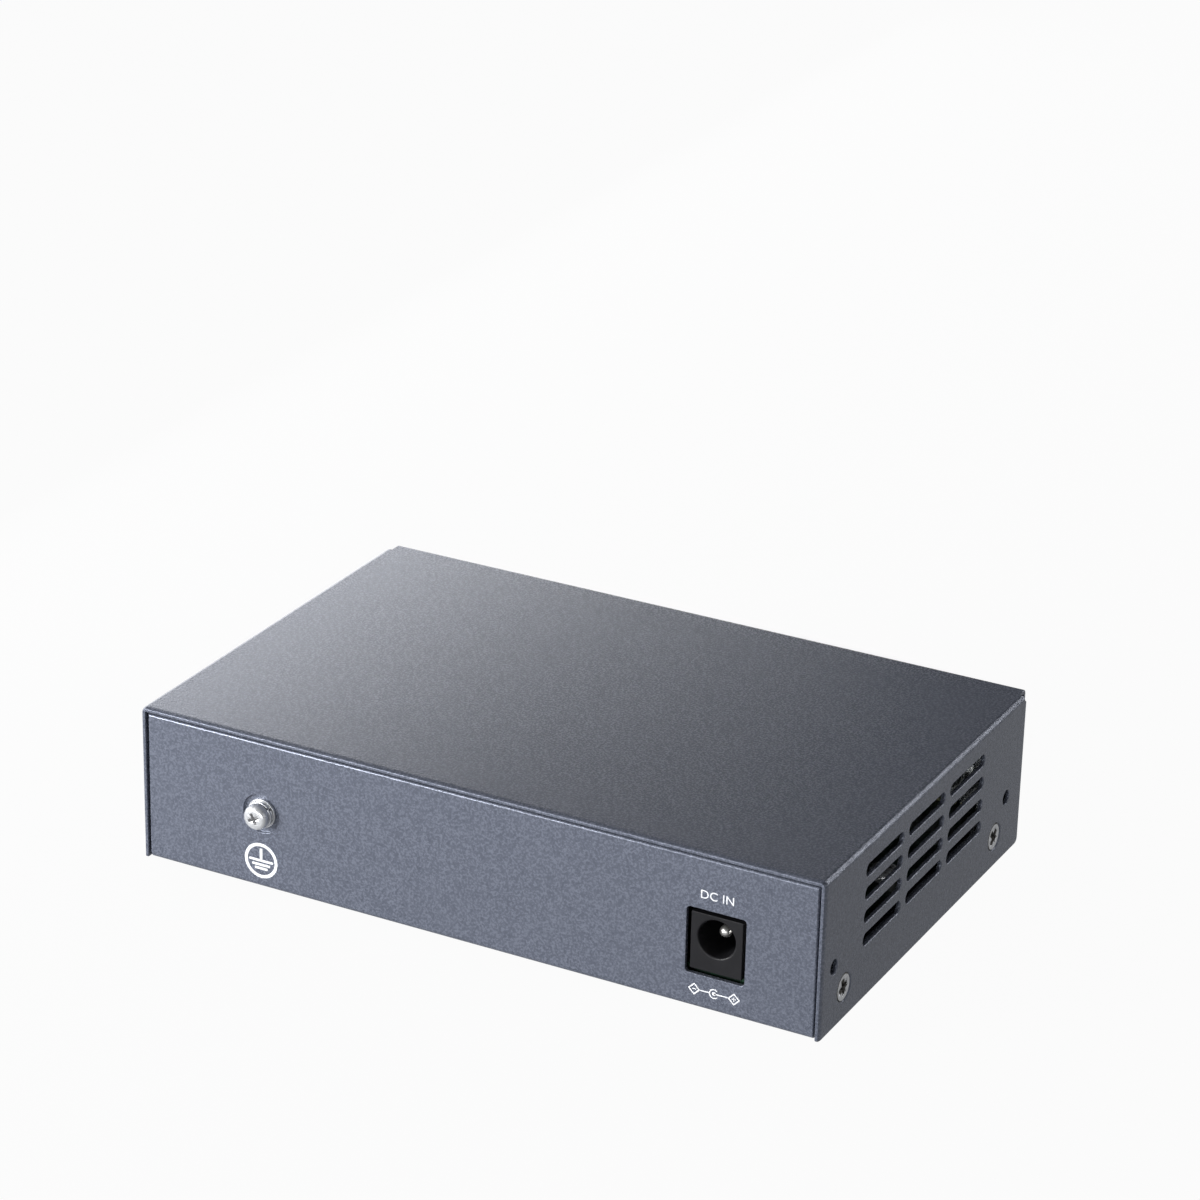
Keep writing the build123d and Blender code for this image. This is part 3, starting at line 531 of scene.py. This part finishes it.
# Chips
# The switch chip, its memory, the power controller, two regulators and the input diode are sealed
# in moulded resin. The input fuse is a white ceramic block.

for chip in ("switch_chip", "memory_chip", "power_controller", "voltage_regulators", "input_diode"):
    wear(chip, package_resin)
wear("input_fuse", moulded("fuse_ceramic", colour(206, 204, 196), colour(228, 226, 218), 0.4))


# Heat sink and its pad
# A soft silicone pad carries the heat of the switch chip to an extruded aluminium sink, which is
# anodised black.

wear("thermal_pad", moulded("pad_silicone", colour(146, 152, 166), colour(168, 173, 186), 0.7))
sink_aluminium = plated(
    "sink_aluminium", colour(26, 26, 28), colour(40, 40, 43), 0.5, (1.0, 0.05, 1.0), bare=0.6
)
wear("heat_sink", sink_aluminium)


# Coils, cans and small parts
# Ferrite coils, aluminium capacitors with a crimped foot and a dished top, a crystal in its can, and
# rows of ceramic chip capacitors and glazed chip resistors.

wear("power_inductors", moulded("choke_ferrite", colour(48, 47, 48), colour(70, 69, 69), 0.62, 1800.0, 0.03))
can_low, can_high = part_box("electrolytic_capacitors")
can_height = can_high.z - can_low.z
can_radius = 4.0 * mm
can_places = (
    Vector((can_low.x + can_radius, can_low.y + can_radius, can_low.z)),
    Vector((can_high.x - can_radius, can_high.y - can_radius, can_low.z)),
)
can_edge = 0.5 * mm
can_round = 0.15 * mm
can_dish = 0.12 * mm
crimp_depth = 0.45 * mm
can_rings = [
    (0.0, can_radius - can_edge),
    (can_edge, can_radius),
    (1.5 * mm, can_radius),
    (1.9 * mm, can_radius - crimp_depth),
    (2.3 * mm, can_radius),
    (can_height - can_edge, can_radius),
    (can_height - can_round, can_radius - can_round),
    (can_height, can_radius - can_edge),
    (can_height - can_dish, can_radius - can_edge - can_round),
]
can_aluminium = plated("can_aluminium", colour(70, 71, 74), colour(96, 97, 100), 0.5, (1.0, 1.0, 0.08))
for number, place in enumerate(can_places):
    can_shape = stand(stacked_rings(48, can_rings), place, (0, 0, 1))
    shade_smooth(can_shape, math.radians(35))
    replaced = ("electrolytic_capacitors",) if number == 0 else ()
    fitted(f"capacitor_can_{number + 1}", can_shape, "can_aluminium", can_aluminium, stands_for=replaced)
wear("crystal", shield_tin)
wear("chip_capacitors", moulded("capacitor_ceramic", colour(142, 112, 78), colour(168, 136, 98), 0.45))
wear("chip_resistors", moulded("resistor_glaze", colour(20, 20, 22), colour(32, 32, 36), 0.3))


# Board screws
# Four pan head steel screws with a cross recess hold the board on its standoffs.


def cross_recess(arm, half_width, turn):
    """The rule for the edge of a cross, from its middle, at each angle."""
    nearly_zero = 1e-6

    def reach(angle):
        along = max(abs(math.cos(angle - turn)), nearly_zero)
        across = max(abs(math.sin(angle - turn)), nearly_zero)
        level_arm = min(arm / along, half_width / across)
        upright_arm = min(arm / across, half_width / along)
        return max(level_arm, upright_arm)

    return reach


def threaded_rings(length, radius):
    """Rings of a screw's shank from its tip up, with a ridge for each turn of its thread."""
    pitch = 0.5 * mm
    depth = 0.18 * mm
    rings = [(-length, radius - 2 * depth)]
    for turn in range(int(length / pitch)):
        start = -length + pitch * turn
        rings += [(start + 0.35 * pitch, radius), (start + 0.75 * pitch, radius - depth)]
    return rings


def pan_head_screw(head_radius, head_height, shank_radius, shank_length, arm, half_width, turn=0.0):
    """A pan head screw along +Z, seated at the origin."""
    recess_edge = 0.06 * mm
    recess_depth = 0.9 * mm
    recess_taper = 0.6
    seat_inset = 0.12 * mm
    seat_round = 0.1 * mm
    rim_level = 0.45
    dome_rise = 0.53
    crown_reach = 0.62
    rings = threaded_rings(shank_length, shank_radius)
    rings += [
        (0.0, shank_radius),
        (0.0, head_radius - seat_inset),
        (seat_round, head_radius),
        (rim_level * head_height, head_radius),
    ]
    for swing in (25, 45, 62, 76):
        lean = math.radians(swing)
        rings.append((
            head_height * (rim_level + dome_rise * math.sin(lean)),
            head_radius * (crown_reach + (1 - crown_reach) * math.cos(lean)),
        ))
    rings += [
        (head_height, cross_recess(arm + recess_edge, half_width + recess_edge, turn)),
        (head_height - recess_edge, cross_recess(arm, half_width, turn)),
        (head_height - recess_depth, cross_recess(recess_taper * arm, recess_taper * half_width, turn)),
    ]
    return stacked_rings(72, rings)


def tint_cross_recess(shape):
    """Gives the faces inside a screw's cross the second material."""
    cross_reach = 0.62
    least_depth = 0.05 * mm
    most_depth = 1.2 * mm
    top = max(vert.co.z for vert in shape.verts)
    widest = max(math.hypot(vert.co.x, vert.co.y) for vert in shape.verts)
    for face in shape.faces:
        middle = face.calc_center_median()
        inside = math.hypot(middle.x, middle.y) < cross_reach * widest
        if inside and top - most_depth < middle.z < top - least_depth:
            face.material_index = 1


# A dark metal, painted shade in the crosses of the board and cover screws and at the rims of the cover
# screws' heads.
painted_shade_metal = plated("painted_shade_metal", colour(52, 51, 50), colour(104, 102, 99), 0.45)
board_screw_low, board_screw_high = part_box("board_screws")
board_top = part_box("circuit_board")[1].z
board_head_radius = 2.6 * mm
board_head_height = board_screw_high.z - board_top
board_shank_radius = 1.2 * mm
board_shank_length = board_top - board_screw_low.z
board_arm = 1.3 * mm
board_half_width = 0.3 * mm
for number in range(4):
    x = board_screw_low.x + board_head_radius if number % 2 else board_screw_high.x - board_head_radius
    y = board_screw_low.y + board_head_radius if number < 2 else board_screw_high.y - board_head_radius
    board_screw_shape = pan_head_screw(
        board_head_radius, board_head_height, board_shank_radius, board_shank_length,
        board_arm, board_half_width,
    )
    # The inside of the cross gets painted shade.
    tint_cross_recess(board_screw_shape)
    stand(board_screw_shape, (x, y, board_top), (0, 0, 1), 0.4 * number)
    shade_smooth(board_screw_shape)
    replaced = ("board_screws",) if number == 0 else ()
    fitted(
        f"board_screw_{number + 1}", board_screw_shape, "bright_zinc", bright_zinc, painted_shade_metal,
        stands_for=replaced,
    )


# Cover
# The other folded sheet: the top, both vented sides and the hood over the front panel. Its sides
# stand outside the flanges of the tray. The die drew its rear edge down into a shallow round.

case_low, case_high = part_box("cover")
cover_bend = 0.9 * mm
edge_round = 0.5 * mm
edge_reach = 1.0 * mm
edge_drop = 0.35 * mm
cover_shape = merged_copy("cover")
# The round on the rear edge of the top, the sides and the bends between them gets longer and lower.
for vert in cover_shape.verts:
    core = Vector((
        min(max(vert.co.x, case_low.x + cover_bend), case_high.x - cover_bend),
        vert.co.y,
        min(vert.co.z, case_high.z - cover_bend),
    ))
    outward = vert.co - core
    back = case_high.y - vert.co.y
    sunk = cover_bend - outward.length
    if back < edge_round + tolerance and sunk < edge_round + tolerance:
        vert.co = core + outward.normalized() * (cover_bend - sunk * edge_drop / edge_round)
        vert.co.y = case_high.y - back * edge_reach / edge_round
soften(cover_shape, 1.8 * coat_rounding)
shade_smooth(cover_shape)
fitted("folded_cover", cover_shape, "case_paint", slate_coat, stands_for=("cover",))


# Cover screws
# Four countersunk screws with a cross recess hold the sides of the cover to the tray. The crosses
# are worn by the driver, and painted shade darkens them and a thin ring at the rim of each head.

cover_low, cover_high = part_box("cover_screws")
cover_head_radius = (cover_high.z - cover_low.z) / 2
cover_head_depth = 0.7 * mm
cover_rim_width = 0.17 * mm
cover_rim_round = 0.06 * mm
cover_screw_z = (cover_high.z + cover_low.z) / 2
cover_screw_length = 4.5 * mm
cover_shank_radius = 1.45 * mm
cone_overrun = 0.1 * mm
cover_arm = 1.45 * mm
cover_half_width = 0.42 * mm
worn_edge = 0.14 * mm
worn_depth = 0.12 * mm
cover_cross_depth = 0.9 * mm
for number in range(4):
    side = -1 if number % 2 else 1
    y = cover_low.y + cover_head_radius if number < 2 else cover_high.y - cover_head_radius
    turn = 0.35 + 0.5 * number
    rings = threaded_rings(cover_screw_length, cover_shank_radius)
    rings += [
        (-cover_head_depth - cone_overrun, cover_shank_radius),
        (-2 * cover_rim_round, cover_head_radius - 0.5 * cover_rim_round),
        (-cover_rim_round, cover_head_radius),
        (-0.01 * mm, cover_head_radius - cover_rim_round),
        (0.0, cover_head_radius - 0.16 * mm),
        (0.0, cross_recess(cover_arm + worn_edge, cover_half_width + worn_edge, turn)),
        (-worn_depth, cross_recess(cover_arm, cover_half_width, turn)),
        (-cover_cross_depth, cross_recess(0.5 * cover_arm, 0.6 * cover_half_width, turn)),
    ]
    cover_screw_shape = stacked_rings(96, rings)
    tint_cross_recess(cover_screw_shape)
    # A thin ring at the rim of each head gets the dark metal too: painted shade, as in the gap of its seat.
    for face in cover_screw_shape.faces:
        nearest = min(math.hypot(vert.co.x, vert.co.y) for vert in face.verts)
        if nearest > cover_head_radius - cover_rim_width:
            face.material_index = 1
    stand(cover_screw_shape, (side * cover_high.x, y, cover_screw_z), (side, 0, 0))
    shade_smooth(cover_screw_shape)
    replaced = ("cover_screws",) if number == 0 else ()
    fitted(
        f"cover_screw_{number + 1}", cover_screw_shape, "bright_zinc", bright_zinc, painted_shade_metal,
        stands_for=replaced,
    )


# Ground screw
# A pan head screw with a split spring washer and a flat washer, in the dimple of the rear panel. The
# real head and washers are a little smaller than the common sizes that the solids have.

flat_low, flat_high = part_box("ground_flat_washer")
spring_low, spring_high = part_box("ground_spring_washer")
ground_low, ground_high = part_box("ground_screw")
ground_seat = Vector(((flat_low.x + flat_high.x) / 2, flat_low.y, (flat_low.z + flat_high.z) / 2))

washer_share = 0.84
washer_rounding = 0.08 * mm
washer_shape = merged_copy("ground_flat_washer")
washer_scale = Matrix.Diagonal((washer_share, 1.0, washer_share, 1.0))
bmesh.ops.transform(
    washer_shape,
    matrix=Matrix.Translation(ground_seat) @ washer_scale @ Matrix.Translation(-ground_seat),
    verts=washer_shape.verts,
)
soften(washer_shape, washer_rounding)
shade_smooth(washer_shape)
fitted(
    "ground_washer_flat", washer_shape, "bright_zinc", bright_zinc, stands_for=("ground_flat_washer",)
)

spring_share = 0.88
spring_steps = 84
spring_turn = math.radians(350)
spring_slant = math.radians(14)
spring_split_turn = math.radians(35)
spring_corner = 0.1 * mm
spring_rise = 0.14 * mm
spring_inner = 1.65 * mm
spring_outer = spring_share * (spring_high.z - ground_seat.z)
spring_section = spring_high.y - spring_low.y - spring_rise
spring_shape = bmesh.new()
section = []
for radius, height in (
    (spring_inner, 0.0), (spring_outer, 0.0), (spring_outer, spring_section), (spring_inner, spring_section),
):
    lead = spring_slant * height / spring_section
    section.append(spring_shape.verts.new((radius * math.cos(lead), radius * math.sin(lead), height)))
spring_shape.faces.new(section)
bmesh.ops.bevel(
    spring_shape, geom=section, offset=spring_corner, offset_type="OFFSET", segments=2, profile=0.5,
    affect="VERTICES", material=-1,
)
bmesh.ops.spin(
    spring_shape, geom=list(spring_shape.faces) + list(spring_shape.edges), cent=(0, 0, 0), axis=(0, 0, 1),
    dvec=(0, 0, spring_rise / spring_steps), angle=spring_turn, steps=spring_steps,
)
bmesh.ops.recalc_face_normals(spring_shape, faces=spring_shape.faces)
stand(spring_shape, (ground_seat.x, spring_low.y, ground_seat.z), (0, 1, 0), spring_split_turn)
shade_smooth(spring_shape, math.radians(40))
fitted(
    "ground_washer_spring", spring_shape, "bright_zinc", bright_zinc, stands_for=("ground_spring_washer",)
)

head_share = 0.82
head_height_share = 0.72
ground_head_radius = head_share * ((ground_high.z - ground_low.z) / 2)
ground_head_height = head_height_share * (ground_high.y - spring_high.y)
ground_shank_radius = 1.45 * mm
ground_shank_length = spring_high.y - ground_low.y
ground_arm = 1.0 * mm
ground_half_width = 0.26 * mm
ground_cross_turn = 0.5
worn_recess = plated("worn_recess", colour(136, 136, 137), colour(192, 192, 194), 0.45, bare=0.7)
ground_shape = pan_head_screw(
    ground_head_radius, ground_head_height, ground_shank_radius, ground_shank_length,
    ground_arm, ground_half_width, ground_cross_turn,
)
tint_cross_recess(ground_shape)
stand(ground_shape, (ground_seat.x, spring_high.y, ground_seat.z), (0, 1, 0))
shade_smooth(ground_shape)
fitted(
    "ground_screw_worn", ground_shape, "bright_zinc", bright_zinc, worn_recess, stands_for=("ground_screw",)
)


# Signs on the rear panel
# White ink, screen printed: the sign for ground under its screw, the sign for the polarity of the
# power inlet, and two plain words over the inlet. Their sizes and places are in millimetres.

ink_thickness = 0.03
ink = Finish("sign_ink", Specular_IOR_Level=0.4)
ink_grain = ink.noise(2400.0, 2.0, 0.6)
white_ink = ink.surface(
    Base_Color=ink.mix(ink_grain, colour(214, 216, 220), colour(240, 241, 243)),
    Roughness=0.5 + 0.15 * ink_grain,
    Normal=ink.bump(ink_grain, 0.02 * mm, 0.5),
)


def on_panel(from_left, from_top):
    """Moves flat print, drawn in millimetres about its middle, to its place on the rear panel."""
    place = Matrix.Translation((case_high.x - from_left * mm, tray_high.y, case_high.z - from_top * mm))
    facing = Matrix(((-1, 0, 0, 0), (0, 0, 1, 0), (0, 1, 0, 0), (0, 0, 0, 1)))
    return place @ facing @ Matrix.Scale(mm, 4)


def printed(name, shape, from_left, from_top):
    """Raises flat print by the thickness of the ink and puts it on the rear panel."""
    raised = bmesh.ops.extrude_face_region(shape, geom=list(shape.faces))["geom"]
    tops = [part for part in raised if isinstance(part, bmesh.types.BMVert)]
    bmesh.ops.translate(shape, verts=tops, vec=(0, 0, ink_thickness))
    bmesh.ops.recalc_face_normals(shape, faces=shape.faces)
    bmesh.ops.transform(shape, matrix=on_panel(from_left, from_top), verts=shape.verts)
    fitted(name, shape, "case_paint", white_ink)


def bar(shape, x, y, width, height, rounding=0.1):
    """A flat bar with slightly rounded corners."""
    matrix = Matrix.Translation((x, y, 0)) @ Matrix.Diagonal((width, height, 1, 1))
    corners = bmesh.ops.create_grid(shape, x_segments=1, y_segments=1, size=0.5, matrix=matrix)["verts"]
    bmesh.ops.bevel(
        shape, geom=corners, offset=rounding, offset_type="OFFSET", segments=3, profile=0.5,
        affect="VERTICES", material=-1,
    )


def ring(shape, x, outer, line, sides):
    """A flat ring, or a diamond with four sides."""
    rims = []
    for radius in (outer, outer - line):
        rim = bmesh.ops.create_circle(
            shape, segments=sides, radius=radius, matrix=Matrix.Translation((x, 0, 0))
        )["verts"]
        rims += [edge for edge in shape.edges if all(vert in rim for vert in edge.verts)]
    bmesh.ops.bridge_loops(shape, edges=rims)


ground_from_left = 22.5
ground_from_top = 22.1
earth_bars = ((0.0, 4.5), (-0.75, 3.4), (-1.4, 2.4))
ground_sign = bmesh.new()
ring(ground_sign, 0.0, outer=3.1, line=0.55, sides=64)
bar(ground_sign, 0.0, 1.2, width=0.5, height=1.9, rounding=0.05)
for level, width in earth_bars:
    bar(ground_sign, 0.0, level, width, height=0.42)
printed("ground_sign", ground_sign, ground_from_left, ground_from_top)

inlet_from_left = 104.1
polarity_from_top = 23.7
sign_reach = 3.4
diamond_reach = 1.05
diamond_line = 0.3
mark_length = 0.75
mark_line = 0.16
mark_rounding = 0.03
arc_radius = 0.85
arc_overlap = 0.1
gap_half = math.radians(42)
pole_radius = 0.32
thin_line = 0.2
thin_rounding = 0.02
polarity_sign = bmesh.new()
for side in (-1, 1):
    ring(polarity_sign, side * sign_reach, diamond_reach, diamond_line, sides=4)
    bar(polarity_sign, side * sign_reach, 0.0, mark_length, mark_line, mark_rounding)
bar(polarity_sign, sign_reach, 0.0, mark_line, mark_length, mark_rounding)
line_length = sign_reach - diamond_reach - arc_radius + arc_overlap
bar(polarity_sign, -(arc_radius + line_length / 2), 0.0, line_length, thin_line, thin_rounding)
line_length = sign_reach - diamond_reach
bar(polarity_sign, line_length / 2, 0.0, line_length, thin_line, thin_rounding)
bmesh.ops.create_circle(polarity_sign, cap_ends=True, segments=24, radius=pole_radius)
arc_start = [
    polarity_sign.verts.new((radius * math.cos(gap_half), radius * math.sin(gap_half), 0))
    for radius in (arc_radius, arc_radius - thin_line)
]
arc_edge = polarity_sign.edges.new(arc_start)
bmesh.ops.spin(
    polarity_sign, geom=arc_start + [arc_edge], cent=(0, 0, 0), axis=(0, 0, 1),
    angle=2 * math.pi - 2 * gap_half, steps=36,
)
printed("polarity_sign", polarity_sign, inlet_from_left, polarity_from_top)

words_from_top = 7.25
word_curve = bpy.data.curves.new("inlet_words", "FONT")
word_curve.body = "DC IN"
word_curve.align_x = "CENTER"
word_curve.align_y = "CENTER"
word_curve.size = 2.05
word_curve.space_character = 1.05
word_curve.extrude = ink_thickness / 2
word_object = bpy.data.objects.new("inlet_words_curve", word_curve)
word_mesh = bpy.data.meshes.new_from_object(word_object)
bpy.data.objects.remove(word_object)
word_shape = bmesh.new()
word_shape.from_mesh(word_mesh)
bmesh.ops.transform(word_shape, matrix=on_panel(inlet_from_left, words_from_top), verts=word_shape.verts)
fitted("inlet_words", word_shape, "case_paint", white_ink)


# Feet
# Four thin pads of black rubber, glued under the tray, with a softly rounded rim.

foot_rubber = moulded("foot_rubber", colour(26, 26, 27), colour(40, 40, 41), 0.75, 1500.0, 0.03)
softened_copy("soft_feet", "rubber_feet", "foot_rubber", foot_rubber, 0.25 * mm)
